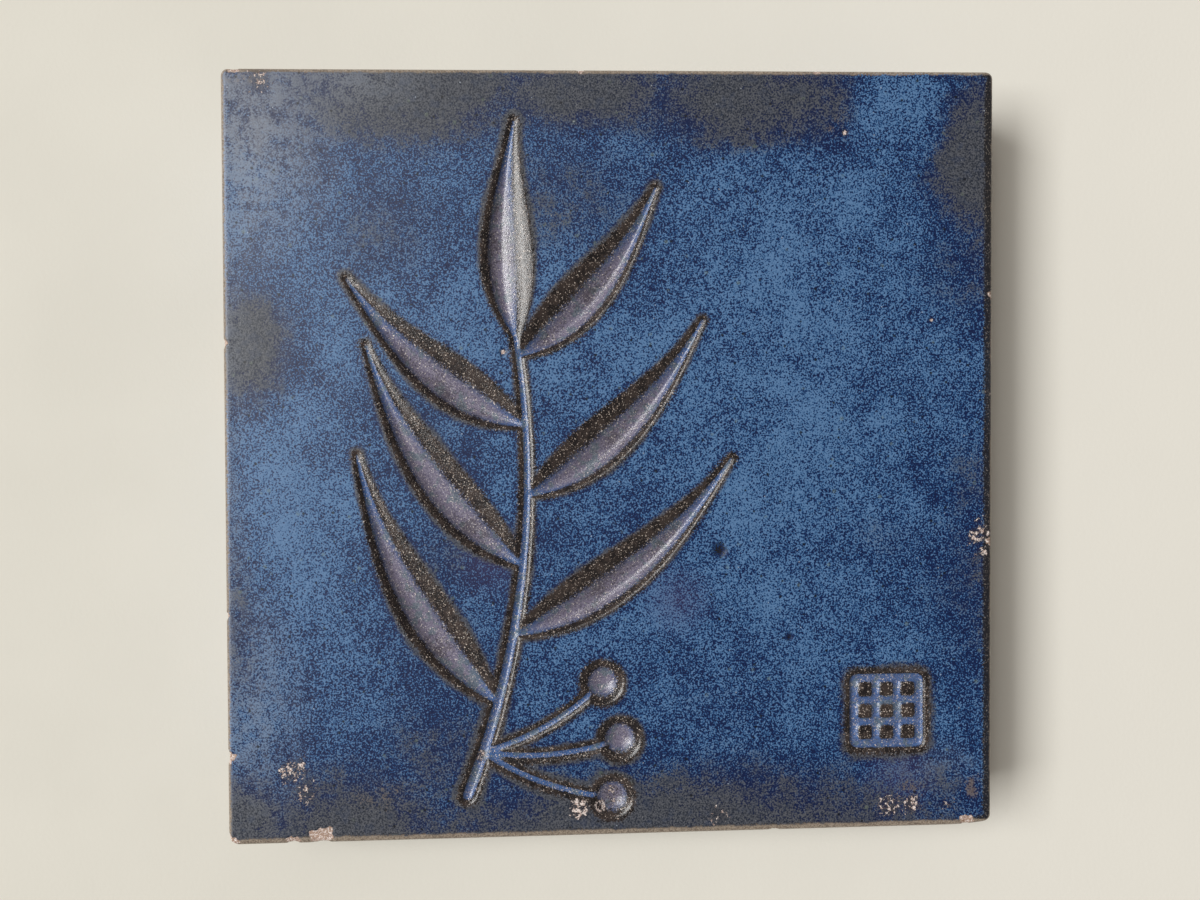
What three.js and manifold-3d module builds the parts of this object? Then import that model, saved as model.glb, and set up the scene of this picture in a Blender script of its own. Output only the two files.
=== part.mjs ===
// A square glazed stoneware tile, pressed and fired as one thick slab.
// The glazed face is up (+Z) and the flat bed it is laid on is at z = 0. Units are millimetres.
// The face carries a carved relief: a leafy sprig on the left, three berries beside it,
// and a small square impression with a plain lattice in the lower right corner.
// Every groove is a gouge cut: a trough with a round floor that widens and narrows along its path.
import * as THREE from "three";
import { mergeVertices } from "three/addons/utils/BufferGeometryUtils.js";
import Module from "manifold-3d";

const wasm = await Module();
wasm.setup();

// Slab
const TILE_SIDE = 150;
const TILE_THICKNESS = 20;
const CORNER_RADIUS = 1.5; // upright corners, more than the arris radius
const ARRIS_RADIUS = 1.1; // soft edges round the face and the bed

// Stem: an arc from the foot to the tip that bows to the right
const STEM_FOOT_FROM_LEFT = 46;
const STEM_FOOT_FROM_BOTTOM = 9;
const STEM_TIP_FROM_LEFT = 56;
const STEM_TIP_FROM_TOP = 52;
const STEM_BOW = 6;
const STEM_FOOT_WIDTH = 3.0;
const STEM_TIP_WIDTH = 1.4;
const STEM_DEPTH = 1.1; // at the foot; it falls with the width

// Leaves: alternate from side to side, and one more ends the stem
const LEAF_COUNT = 6;
const FIRST_LEAF_FROM_FOOT = 19;
const LEAF_PITCH = 13.6;
const LEAF_LENGTH = 56;
const LEAF_SHORTENING = 2.4; // each leaf is this much shorter than the one below
const LEAF_WIDTH = 9.0;
const LEAF_DEPTH = 2.3;
const LEAF_TAIL_WIDTH = 0.9; // the fine line that a leaf starts and ends in
const LEAF_LEAN = 0.3; // share of half the width that the deepest line lies outside the middle
const LEAF_SPLAY = THREE.MathUtils.degToRad(60); // angle from the stem at the leaf's foot
const LEAF_CURL = THREE.MathUtils.degToRad(32); // how far a leaf bends back towards the stem
const END_LEAF_CURL = THREE.MathUtils.degToRad(18);
const LEAF_UNEVENNESS = 0.04; // share by which hand-cut leaves differ in length and spread
const LEAF_FULLNESS = 0.68; // below 1 the widest point moves towards the leaf's foot
const LEAF_TAPER = 1.4; // above 1 both ends draw out to a finer point
const LEAF_DEPTH_TAPER = 0.7; // below 1 the fine ends stay deeper than their width alone gives

// Berries: round dimples on short stalks from one point of the stem
const BERRY_COUNT = 3;
const BERRY_WIDTH = 8.0;
const BERRY_DEPTH = 2.0;
const BERRY_STALK_WIDTH = 1.6;
const BERRY_STALK_DEPTH = 0.7;
const BERRY_STALK_LENGTH = 27;
const BERRY_STALK_FROM_FOOT = 9;
const BERRY_SPLAY = THREE.MathUtils.degToRad(82); // angle of the middle stalk from the stem
const BERRY_SPREAD = THREE.MathUtils.degToRad(25); // angle between neighbouring stalks
const BERRY_CURL = THREE.MathUtils.degToRad(30);

// Square impression with raised pads, a plain lattice
const STAMP_SIDE = 15;
const STAMP_FROM_RIGHT = 14;
const STAMP_FROM_BOTTOM = 16.5;
const STAMP_CORNER_RADIUS = 1.6;
const STAMP_DEPTH = 0.9;
const STAMP_BORDER = 1.6;
const PADS_ACROSS = 3;
const PAD_GAP = 1.0;
const PAD_CORNER_RADIUS = 0.6;
const PAD_DROP = 0.2; // how far the pads stay below the face

// Fineness of the faceted surfaces
const GOUGE_STEP = 3.6; // along a path
const GOUGE_LEAST_STEPS = 6;
const GOUGE_FACETS = 6; // across a trough
const BERRY_FACETS = 16;
const ARRIS_FACETS = 3;
const CORNER_FACETS = 4;
const PAD_CORNER_FACETS = 3;
const WELD_TOLERANCE = 1e-4;
const CUTTER_RISE = 1; // how far a cutter stands above the face

const HALF_SIDE = TILE_SIDE / 2;

// A closed three.js geometry as a solid that can be joined and cut.
function solidOf(geometry) {
  const bare = geometry.clone();
  bare.deleteAttribute("normal");
  bare.deleteAttribute("uv");
  const welded = mergeVertices(bare, WELD_TOLERANCE);
  return new wasm.Manifold(
    new wasm.Mesh({
      numProp: 3,
      vertProperties: new Float32Array(welded.attributes.position.array),
      triVerts: new Uint32Array(welded.index.array),
    }),
  );
}

// The other way round: a solid as a flat-shaded three.js geometry.
function geometryOf(solid) {
  const mesh = solid.getMesh();
  const indexed = new THREE.BufferGeometry();
  indexed.setAttribute("position", new THREE.BufferAttribute(mesh.vertProperties, 3));
  indexed.setIndex(new THREE.BufferAttribute(mesh.triVerts, 1));
  const geometry = indexed.toNonIndexed();
  geometry.computeVertexNormals();
  return geometry;
}

function joined(solids) {
  return solids.reduce((whole, solid) => whole.add(solid));
}

function roundedSquare(side, radius) {
  const half = side / 2;
  const inner = half - radius;
  const shape = new THREE.Shape();
  shape.moveTo(-inner, -half);
  shape.absarc(inner, -inner, radius, -Math.PI / 2, 0);
  shape.absarc(inner, inner, radius, 0, Math.PI / 2);
  shape.absarc(-inner, inner, radius, Math.PI / 2, Math.PI);
  shape.absarc(-inner, -inner, radius, Math.PI, (3 * Math.PI) / 2);
  return shape;
}

// The plain slab, with its bed at z = 0 and all its arrises rounded.
function slab() {
  const geometry = new THREE.ExtrudeGeometry(roundedSquare(TILE_SIDE, CORNER_RADIUS), {
    depth: TILE_THICKNESS - 2 * ARRIS_RADIUS,
    bevelThickness: ARRIS_RADIUS,
    bevelSize: ARRIS_RADIUS,
    bevelOffset: -ARRIS_RADIUS,
    bevelSegments: ARRIS_FACETS,
    curveSegments: CORNER_FACETS,
  });
  geometry.translate(0, 0, ARRIS_RADIUS);
  return solidOf(geometry);
}

// An arc that leaves start at a heading and turns over its length by an angle that isn't 0:
// to the left if positive, to the right if negative.
function arcFrom(start, heading, turn, length) {
  const radius = length / turn;
  const centre = new THREE.Vector2(-Math.sin(heading), Math.cos(heading))
    .multiplyScalar(radius)
    .add(start);
  const startAngle = heading - Math.sign(turn) * (Math.PI / 2);
  return new THREE.ArcCurve(
    centre.x,
    centre.y,
    Math.abs(radius),
    startAngle,
    startAngle + turn,
    turn < 0,
  );
}

function headingOf(curve, share) {
  const tangent = curve.getTangent(share);
  return Math.atan2(tangent.y, tangent.x);
}

// One cross-section of a trough, as (across, up) pairs that run anticlockwise: a round floor
// from rim to rim, then the two corners above the face. A lean moves the deepest line to the
// right of the path.
function troughSection(halfWidth, depth, lean) {
  const section = [];
  for (let i = 0; i <= GOUGE_FACETS; i++) {
    const share = (2 * i) / GOUGE_FACETS - 1;
    const fromDeepest = share + lean * (1 - share ** 2);
    section.push([halfWidth * share, -depth * (1 - fromDeepest ** 2)]);
  }
  section.push([halfWidth, CUTTER_RISE], [-halfWidth, CUTTER_RISE]);
  return section;
}

// The cutter for a trough that follows a curve on the face. halfWidth and depth are functions of
// the share of the way along it.
function gouge(curve, halfWidth, depth, lean = 0) {
  const steps = Math.max(GOUGE_LEAST_STEPS, Math.round(curve.getLength() / GOUGE_STEP));
  const positions = [];
  const triangles = [];
  for (let k = 0; k <= steps; k++) {
    const share = k / steps;
    const point = curve.getPoint(share);
    const tangent = curve.getTangent(share);
    for (const [across, up] of troughSection(halfWidth(share), depth(share), lean)) {
      positions.push(
        point.x - tangent.y * across,
        point.y + tangent.x * across,
        TILE_THICKNESS + up,
      );
    }
  }
  const around = positions.length / 3 / (steps + 1);
  for (let k = 0; k < steps; k++) {
    for (let j = 0; j < around; j++) {
      const near = k * around + j;
      const next = k * around + ((j + 1) % around);
      triangles.push(near, next, next + around, near, next + around, near + around);
    }
  }
  const last = steps * around;
  for (let j = 1; j < around - 1; j++) {
    triangles.push(0, j + 1, j, last, last + j, last + j + 1);
  }
  const geometry = new THREE.BufferGeometry();
  geometry.setAttribute("position", new THREE.Float32BufferAttribute(positions, 3));
  geometry.setIndex(triangles);
  return solidOf(geometry);
}

function stemCutter(stem) {
  const width = (share) => STEM_FOOT_WIDTH + (STEM_TIP_WIDTH - STEM_FOOT_WIDTH) * share;
  return gouge(
    stem,
    (share) => width(share) / 2,
    (share) => (STEM_DEPTH * width(share)) / STEM_FOOT_WIDTH,
  );
}

// The stem's arc, worked out from its two ends and its bow.
function stemCurve() {
  const foot = new THREE.Vector2(
    STEM_FOOT_FROM_LEFT - HALF_SIDE,
    STEM_FOOT_FROM_BOTTOM - HALF_SIDE,
  );
  const tip = new THREE.Vector2(STEM_TIP_FROM_LEFT - HALF_SIDE, HALF_SIDE - STEM_TIP_FROM_TOP);
  const chord = tip.clone().sub(foot);
  const halfTurn = 2 * Math.atan((2 * STEM_BOW) / chord.length());
  const length = (chord.length() * halfTurn) / Math.sin(halfTurn);
  return arcFrom(foot, chord.angle() - halfTurn, 2 * halfTurn, length);
}

// A leaf is a trough that swells from a fine line and runs out to one again.
function leafCutter(foot, heading, turn, length) {
  const swell = (share) => Math.sin(Math.PI * share ** LEAF_FULLNESS) ** LEAF_TAPER;
  const width = (share) => LEAF_TAIL_WIDTH + (LEAF_WIDTH - LEAF_TAIL_WIDTH) * swell(share);
  return gouge(
    arcFrom(foot, heading, turn, length),
    (share) => width(share) / 2,
    (share) => LEAF_DEPTH * (width(share) / LEAF_WIDTH) ** LEAF_DEPTH_TAPER,
    Math.sign(turn) * LEAF_LEAN,
  );
}

function leafCutters(stem) {
  const stemLength = stem.getLength();
  const cutters = [];
  for (let i = 0; i < LEAF_COUNT; i++) {
    const share = (FIRST_LEAF_FROM_FOOT + i * LEAF_PITCH) / stemLength;
    const side = i % 2 === 0 ? 1 : -1;
    const uneven = LEAF_UNEVENNESS * Math.sin(LEAF_PITCH * i);
    cutters.push(
      leafCutter(
        stem.getPoint(share),
        headingOf(stem, share) + side * LEAF_SPLAY * (1 - uneven),
        -side * LEAF_CURL * (1 + 2 * uneven),
        (LEAF_LENGTH - i * LEAF_SHORTENING) * (1 + uneven),
      ),
    );
  }
  const endLength = LEAF_LENGTH - LEAF_COUNT * LEAF_SHORTENING;
  cutters.push(leafCutter(stem.getPoint(1), headingOf(stem, 1), -END_LEAF_CURL, endLength));
  return cutters;
}

// A dimple is the bottom of a ball that stands in the face.
function dimple(centre) {
  const radius = ((BERRY_WIDTH / 2) ** 2 + BERRY_DEPTH ** 2) / (2 * BERRY_DEPTH);
  const ball = new THREE.SphereGeometry(radius, BERRY_FACETS, BERRY_FACETS / 2);
  ball.rotateX(Math.PI / 2);
  ball.translate(centre.x, centre.y, TILE_THICKNESS - BERRY_DEPTH + radius);
  return solidOf(ball);
}

function berryCutters(stem) {
  const share = BERRY_STALK_FROM_FOOT / stem.getLength();
  const foot = stem.getPoint(share);
  const cutters = [];
  for (let i = 0; i < BERRY_COUNT; i++) {
    const offset = (i - (BERRY_COUNT - 1) / 2) * BERRY_SPREAD;
    const heading = headingOf(stem, share) - BERRY_SPLAY - offset;
    const stalk = arcFrom(foot, heading, BERRY_CURL, BERRY_STALK_LENGTH);
    const stalkCutter = gouge(
      stalk,
      () => BERRY_STALK_WIDTH / 2,
      () => BERRY_STALK_DEPTH,
    );
    cutters.push(stalkCutter, dimple(stalk.getPoint(1)));
  }
  return cutters;
}

// An upright block with round corners, centred on x and y.
function roundedBlock(side, radius, height, x, y, bottom) {
  const geometry = new THREE.ExtrudeGeometry(roundedSquare(side, radius), {
    depth: height,
    bevelEnabled: false,
    curveSegments: PAD_CORNER_FACETS,
  });
  geometry.translate(x, y, bottom);
  return solidOf(geometry);
}

// The square impression: a shallow recess with a grid of pads left standing in it.
function stampCutter() {
  const x = HALF_SIDE - STAMP_FROM_RIGHT - STAMP_SIDE / 2;
  const y = STAMP_FROM_BOTTOM + STAMP_SIDE / 2 - HALF_SIDE;
  const floor = TILE_THICKNESS - STAMP_DEPTH;
  const recessHeight = STAMP_DEPTH + CUTTER_RISE;
  const recess = roundedBlock(STAMP_SIDE, STAMP_CORNER_RADIUS, recessHeight, x, y, floor);
  const padSide = (STAMP_SIDE - 2 * STAMP_BORDER - (PADS_ACROSS - 1) * PAD_GAP) / PADS_ACROSS;
  const padPitch = padSide + PAD_GAP;
  const padBottom = floor - CUTTER_RISE;
  const padHeight = TILE_THICKNESS - PAD_DROP - padBottom;
  const pads = [];
  for (let row = 0; row < PADS_ACROSS; row++) {
    for (let column = 0; column < PADS_ACROSS; column++) {
      const padX = x + (column - (PADS_ACROSS - 1) / 2) * padPitch;
      const padY = y + (row - (PADS_ACROSS - 1) / 2) * padPitch;
      pads.push(roundedBlock(padSide, PAD_CORNER_RADIUS, padHeight, padX, padY, padBottom));
    }
  }
  return recess.subtract(joined(pads));
}

const glazedStoneware = new THREE.MeshStandardMaterial({
  name: "blue_glaze",
  color: new THREE.Color().setRGB(0.24, 0.36, 0.52, THREE.SRGBColorSpace),
  roughness: 0.42,
  metalness: 0,
});

const stem = stemCurve();
const relief = joined([
  stemCutter(stem),
  ...leafCutters(stem),
  ...berryCutters(stem),
  stampCutter(),
]);
const tile = new THREE.Mesh(geometryOf(slab().subtract(relief)), glazedStoneware);
tile.name = "tile";

const part = new THREE.Group();
part.add(tile);

export default part;
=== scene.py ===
import math
from types import SimpleNamespace

import bpy
import numpy as np
from mathutils import Matrix, Vector
from mathutils.bvhtree import BVHTree


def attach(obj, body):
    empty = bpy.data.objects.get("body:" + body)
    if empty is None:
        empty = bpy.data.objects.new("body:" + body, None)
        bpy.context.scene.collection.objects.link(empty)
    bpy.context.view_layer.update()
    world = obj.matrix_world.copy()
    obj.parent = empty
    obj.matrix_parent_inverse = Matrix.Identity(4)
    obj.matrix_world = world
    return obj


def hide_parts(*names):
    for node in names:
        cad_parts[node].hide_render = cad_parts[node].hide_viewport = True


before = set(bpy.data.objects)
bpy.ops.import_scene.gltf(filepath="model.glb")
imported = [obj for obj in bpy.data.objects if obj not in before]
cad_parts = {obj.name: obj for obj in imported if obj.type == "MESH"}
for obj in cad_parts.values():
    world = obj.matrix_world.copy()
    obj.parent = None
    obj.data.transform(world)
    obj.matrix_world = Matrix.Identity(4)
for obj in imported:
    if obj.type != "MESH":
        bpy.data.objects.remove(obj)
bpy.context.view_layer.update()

# A thick square stoneware tile with a blue satin glaze over a carved sprig, three berries and a
# small square lattice impression. Shapes, patterns and the camera's place are worked out in
# millimetres, and each finished mesh is brought to metres. The lights are in metres.
MM = 0.001

# Slab
TILE_SIDE = 150.0
TILE_THICKNESS = 20.0
CORNER_RADIUS = 1.5
ARRIS_RADIUS = 1.1
OUT_OF_SQUARE = 0.5  # how far the top left and bottom right corners stand in
SHORT_IN_Y = 0.35  # how far the face's top and bottom edges stand in
WORN_CORNER = 0.7  # how far the front right corner's bottom edge turns in
WORN_CORNER_REACH = 9.0
FACE_HOLLOWS = 0.16  # how far the face dips between its highest places
SIDE_WAVES = 0.14
GLAZE_LINE = 4.2  # height above the bed where the glaze ends on the sides
GLAZE_LINE_WANDER = 1.6
GLAZE_THICKNESS = 0.3
GLAZE_END = 0.22  # height over which the glaze's thickness runs out at its end
SETTLING = 3.0  # how far from an arris the unevenness of face and sides takes to its full size
HOLLOWS_PER_MM = 0.045

# Sprig, under the names of its geometry tree's inputs
STEM_FOOT = (46.0 - TILE_SIDE / 2, 9.0 - TILE_SIDE / 2)
STEM_TIP = (56.0 - TILE_SIDE / 2, TILE_SIDE / 2 - 52.0)
STEM_BOW = 6.0
STEM_SIZES = {
    "Stem Foot X": STEM_FOOT[0],
    "Stem Foot Y": STEM_FOOT[1],
    "Stem Foot Width": 3.0,
    "Stem Tip Width": 1.4,
    "Stem Depth": 1.1,  # at the foot; it falls with the width
}
LEAF_SIZES = {
    "Leaf Count": 6,
    "First Leaf From Foot": 19.0,
    "Leaf Pitch": 13.6,
    "Leaf Length": 56.0,
    "Leaf Shortening": 2.4,
    "Leaf Width": 9.0,
    "Leaf Depth": 2.3,
    "Leaf Tail Width": 0.9,
    "Leaf Lean": 0.3,  # share of half the width that the deepest line lies outside the middle
    "Leaf Splay": math.radians(60),
    "Leaf Curl": math.radians(32),
    "End Leaf Curl": math.radians(18),
    "Leaf Unevenness": 0.04,  # share by which hand-cut leaves differ in length and spread
    "Leaf Fullness": 0.68,
    "Leaf Taper": 1.4,
    "Leaf Depth Taper": 0.7,
}
BERRY_SIZES = {
    "Berry Count": 3,
    "Berry Width": 8.0,
    "Berry Depth": 2.0,
    "Stalk Width": 1.6,
    "Stalk Depth": 0.7,
    "Stalk Length": 27.0,
    "Stalk From Foot": 9.0,
    "Stalk Splay": math.radians(82),
    "Stalk Spread": math.radians(25),
    "Stalk Curl": math.radians(30),
}

# Square impression
STAMP_SIDE = 15.0
STAMP_CENTRE = (TILE_SIDE / 2 - 14.0 - STAMP_SIDE / 2, 16.5 + STAMP_SIDE / 2 - TILE_SIDE / 2)
STAMP_CORNER_RADIUS = 1.6
STAMP_DEPTH = 0.9
STAMP_BORDER = 1.6
PADS_ACROSS = 3
PAD_GAP = 1.0
PAD_CORNER_RADIUS = 0.6
PAD_DROP = 0.2

# How glaze softens the carving
GOUGE_MARGIN = 2.6  # how far the rims' influence reaches onto the face
GOUGE_FLARE = 0.9  # slope of that reach
STAMP_FLARE = 0.6
GENTLE_WALL = 0.7  # 1 is as round as the steep wall, 0.5 is straight
RIM_SOFTNESS = 0.8
STAMP_WALL_SLOPE = 2.4

# Fineness
CELL = 1.4  # plain parts of the face
CELL_SPLIT = 4  # finer cells along each edge of a cell near the carving
STAMP_MARGIN = 1.5  # how far the finer cells reach past the impression
PIT_MARGIN = 1.0  # how far they reach past a pit
ARRIS_INSETS = (0.0, 0.08, 0.25, 0.5, 0.8, 1.1, CORNER_RADIUS)
SIDE_LEVELS = (18.1, 17.0, 15.6, 13.6, 11.6, 9.8, 8.4, 7.4, 6.6, 6.0, 5.4, 4.8, 4.2, 3.6, 3.0, 2.4)
SIDE_LEVELS += (1.9, 1.4)
FOOT_ROUNDING = ((0.1, 0.75), (0.4, 0.3), (0.75, 0.08), (1.1, 0.0), (3.0, 0.0))  # inset, height
STEM_STEPS = 160
LEAF_STEPS = 110
STALK_STEPS = 60
STEPS_ACROSS = 21
BERRY_STEPS = 49
RIM_SHARE = 0.7  # share of a strip's half width that is the gouge; the rest is its flared rim

HALF_SIDE = TILE_SIDE / 2

# Camera
CAMERA_X = -9.6
CAMERA_Y = 4.0
CAMERA_OVER_FACE = 174.3
CAMERA_TURNS = (-0.971, -2.235, -0.431)  # in degrees, from looking straight down

# Chips in the arris where bare clay shows: x, y, z, radius, depth
CHIPS = (
    (-57.1, -73.5, 19.9, 2.5, 0.3),
    (-62.6, -74.2, 19.5, 1.5, 0.3),
    (-74.4, -74.0, 19.6, 1.6, 0.2),
    (-74.5, -57.5, 19.5, 1.4, 0.3),
    (-74.8, -30.2, 19.4, 0.9, 0.25),
    (-74.4, 22.0, 19.5, 0.9, 0.25),
    (74.2, -17.6, 19.7, 1.0, 0.12),
    (74.4, 31.0, 19.7, 0.8, 0.15),
    (69.4, -73.2, 19.8, 1.5, 0.15),
    (31.0, -74.5, 19.5, 0.9, 0.25),
    (-6.0, 74.3, 19.8, 0.9, 0.12),
    (-72.0, 74.0, 19.6, 1.2, 0.15),
    (40.0, 74.3, 19.8, 0.7, 0.1),
)

# How wide the worn tan strip and the dark line inside it are: left, right, bottom, top; the dark
# line is painted shade on the right and bottom arrises, which face away from the windows
TAN_STRIPS = (0.7, 0.4, 1.3, 0.9)
DARK_LINES_AND_SHADE = (0.0, 1.5, 0.25, 0.0)
SIDE_BLEND = 0.8  # how near a corner one side's widths pass over into the next one's

# Small flaws in the glaze: x, y, radius, depth
DARK_PITS = ((20.4, -18.7, 1.2, 0.3), (34.0, -36.0, 0.6, 0.2), (-31.0, 9.0, 0.5, 0.2))
PALE_PITS = ((45.4, 62.5, 0.6, 0.2), (-21.4, 20.1, 0.6, 0.2), (62.5, 26.0, 0.4, 0.15))

# How many times its reach a patch of the glaze fades out at, and how fast it gets to its full
# strength inwards from there
PATCH_SPREAD = 1.25
THICK_RISE = 1.6
CRAWLED_SPREAD = 1.4
CRAWLED_RISE = 1.8
PIT_SPREAD = 1.5
PIT_RISE = 2.0

# Brownish stains: x, y, reach along x and y, strength
STAINED_PLACES = (
    (70.6, -66.6, 1.7, 3.0, 1.0),
    (58.0, -67.0, 3.0, 2.4, 0.6),
    (43.5, 63.6, 1.8, 2.0, 0.45),
    (-69.6, 72.5, 4.0, 2.0, 0.5),
    (-46.0, -66.0, 6.0, 3.0, 0.35),
)

# Where the glaze lies thick and stays blue within the thin places: x, y, reach along x and y,
# strength
THICK_PLACES = (
    (58.7, 71.6, 9.5, 1.4, 1.0),
    (56.0, 66.0, 9.0, 11.0, 0.8),
    (34.0, 45.0, 24.0, 13.0, 0.9),
)

# Places where the blue turns to violet: x, y, reach
VIOLET_PLACES = ((12.0, -28.4, 8.0), (-24.0, -20.0, 9.0), (56.0, -64.0, 9.0))

# Places where the glaze is milky and where the windows' hazy reflection is painted in as pale
# colour: x, y, reach along x and y, strength
MILKY_AND_HAZE_PLACES = (
    (-70.0, 66.0, 17.0, 26.0, 0.95),
    (-52.0, 73.0, 16.0, 7.0, 0.6),
    (-75.0, 30.0, 4.0, 60.0, 0.6),
    (-75.0, -30.0, 4.0, 50.0, 0.6),
    (-70.0, -50.0, 10.0, 22.0, 0.5),
    (62.0, -62.0, 9.0, 5.0, 0.3),
)

# Places where the glaze is thin and breaks to slate: x, y, reach along x and y, strength
THIN_PLACES = (
    (-38.0, 70.0, 36.0, 16.0, 1.0),
    (30.0, -41.0, 30.0, 20.0, 0.25),
    (-2.0, 52.0, 36.0, 20.0, 0.35),
    (62.0, 46.0, 14.0, 14.0, 0.4),
    (78.0, 39.0, 26.0, 24.0, 0.66),
    (-50.0, -52.0, 26.0, 14.0, 0.3),
    (-6.0, 70.0, 30.0, 11.0, 0.95),
    (26.0, 69.0, 34.0, 15.0, 0.95),
    (73.0, 58.0, 18.0, 24.0, 1.0),
    (74.0, 26.0, 13.0, 34.0, 0.25),
    (78.0, -26.0, 26.0, 40.0, 0.6),
    (12.0, -75.0, 84.0, 20.0, 1.0),
    (-52.0, -75.0, 30.0, 22.0, 1.0),
    (-72.0, -70.0, 15.0, 13.0, 1.0),
    (-34.0, -58.0, 22.0, 20.0, 0.6),
    (-70.0, 21.0, 12.0, 15.0, 1.0),
    (-73.0, -32.0, 7.0, 24.0, 0.6),
    (-44.0, 44.0, 20.0, 18.0, 0.5),
    (-10.0, 50.0, 24.0, 20.0, 0.55),
    (-38.0, 4.0, 16.0, 14.0, 0.35),
    (-36.0, -34.0, 20.0, 16.0, 0.4),
    (20.0, -50.0, 26.0, 14.0, 0.35),
    (2.0, -12.0, 14.0, 16.0, 0.3),
    (52.0, -17.0, 18.0, 10.0, 0.4),
    (53.0, 13.0, 10.0, 6.0, 0.2),
    (71.0, -7.0, 11.0, 17.0, 0.55),
    (-32.0, -20.0, 14.0, 12.0, 0.5),
    (-10.0, -20.0, 10.0, 12.0, 0.35),
    (64.0, -68.0, 18.0, 14.0, 0.6),
)

# Places where the glaze has crawled back in small bare flecks: x, y, reach, strength
CRAWLED_PLACES = (
    (-63.2, -60.5, 2.2, 0.8),
    (-61.3, -58.8, 1.1, 1.0),
    (-60.1, -60.7, 0.8, 0.9),
    (-59.9, -64.6, 2.4, 0.6),
    (-7.3, -68.9, 2.0, 1.0),
    (-3.3, -68.9, 1.4, 0.8),
    (-0.5, -67.0, 2.2, 0.55),
    (-26.5, -58.5, 1.2, 0.8),
    (53.9, -69.8, 2.4, 0.75),
    (58.5, -69.6, 1.8, 0.85),
    (65.4, -69.6, 1.0, 0.8),
    (71.6, -16.4, 1.7, 1.0),
    (73.4, -15.8, 1.2, 0.9),
    (72.6, -19.9, 1.3, 0.85),
    (72.2, -13.7, 0.9, 0.7),
    (-67.1, 72.0, 2.6, 0.6),
    (20.0, -71.0, 2.2, 0.5),
    (73.5, 12.0, 1.2, 0.6),
)


class Value:
    """A number inside a node tree. Arithmetic on it adds Math nodes to that tree."""

    def __init__(self, tree, socket):
        self.tree = tree
        self.socket = socket

    def __add__(self, other):
        return calculate(self.tree, "ADD", self, other)

    def __sub__(self, other):
        return calculate(self.tree, "SUBTRACT", self, other)

    def __rsub__(self, other):
        return calculate(self.tree, "SUBTRACT", other, self)

    def __mul__(self, other):
        return calculate(self.tree, "MULTIPLY", self, other)

    def __truediv__(self, other):
        return calculate(self.tree, "DIVIDE", self, other)

    def __pow__(self, other):
        return calculate(self.tree, "POWER", self, other)

    def __neg__(self):
        return calculate(self.tree, "MULTIPLY", self, -1.0)

    def __abs__(self):
        return calculate(self.tree, "ABSOLUTE", self)

    __radd__ = __add__
    __rmul__ = __mul__


def feed(tree, socket, value):
    """Gives a socket a Value from the tree, or a plain value."""
    if isinstance(value, Value):
        tree.links.new(value.socket, socket)
    else:
        socket.default_value = value


def add_node(tree, kind, inputs=None, **settings):
    node = tree.nodes.new(kind)
    for name, value in settings.items():
        setattr(node, name, value)
    for key, value in (inputs or {}).items():
        feed(tree, node.inputs[key], value)
    return node


def output(tree, kind, inputs=None, result=0, **settings):
    """One result of a new node."""
    node = add_node(tree, kind, inputs, **settings)
    return Value(tree, node.outputs[result])


def calculate(tree, operation, *values, clamp=False):
    """A Math node's result."""
    numbered = dict(enumerate(values))
    return output(tree, "ShaderNodeMath", numbered, operation=operation, use_clamp=clamp)


def smallest(a, b):
    return calculate(a.tree, "MINIMUM", a, b)


def largest(a, b):
    return calculate(a.tree, "MAXIMUM", a, b)


def root(a):
    return calculate(a.tree, "SQRT", a)


def is_less(a, b):
    return calculate(a.tree, "LESS_THAN", a, b)


def clamped(a):
    return calculate(a.tree, "ADD", a, 0.0, clamp=True)


def blend(share, a, b):
    return a + (b - a) * share


def ramp(value, start, end):
    """0 below start, 1 above end and smooth between them."""
    inputs = {"Value": value, "From Min": start, "From Max": end}
    return output(value.tree, "ShaderNodeMapRange", inputs, interpolation_type="SMOOTHSTEP")


def xyz(tree, x, y, z):
    return output(tree, "ShaderNodeCombineXYZ", {"X": x, "Y": y, "Z": z})


def parts_of(vector):
    node = add_node(vector.tree, "ShaderNodeSeparateXYZ", {"Vector": vector})
    return [Value(vector.tree, socket) for socket in node.outputs]


# Geometry Nodes


def new_tree(name, sizes):
    """A geometry tree with a named input for each size, and those inputs as Values."""
    tree = bpy.data.node_groups.new(name, "GeometryNodeTree")
    face = tree.interface
    face.new_socket("Geometry", in_out="OUTPUT", socket_type="NodeSocketGeometry")
    face.new_socket("Geometry", in_out="INPUT", socket_type="NodeSocketGeometry")
    kinds = {int: "NodeSocketInt", float: "NodeSocketFloat", bpy.types.Object: "NodeSocketObject"}
    for title, size in sizes.items():
        face.new_socket(title, in_out="INPUT", socket_type=kinds[type(size)])
    source = tree.nodes.new("NodeGroupInput")
    inputs = {socket.name: Value(tree, socket) for socket in source.outputs if socket.name}
    return tree, inputs


def end_tree(tree, geometry, material):
    whole = output(tree, "GeometryNodeRealizeInstances", {"Geometry": geometry})
    coloured = output(
        tree, "GeometryNodeSetMaterial", {"Geometry": whole, "Material": material}
    )
    end = tree.nodes.new("NodeGroupOutput")
    tree.links.new(coloured.socket, end.inputs["Geometry"])


def grow(name, mesh, tree, sizes):
    """The plain mesh that a geometry tree makes of a mesh with these sizes."""
    holder = bpy.data.objects.new(name, mesh)
    bpy.context.scene.collection.objects.link(holder)
    modifier = holder.modifiers.new(name, "NODES")
    modifier.node_group = tree
    for item in tree.interface.items_tree:
        if item.item_type == "SOCKET" and item.in_out == "INPUT" and item.name in sizes:
            modifier[item.identifier] = sizes[item.name]
    graph = bpy.context.evaluated_depsgraph_get()
    grown = bpy.data.meshes.new_from_object(holder.evaluated_get(graph))
    grown.name = name
    holder.modifiers.remove(modifier)
    bpy.data.objects.remove(holder)
    return grown


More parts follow.
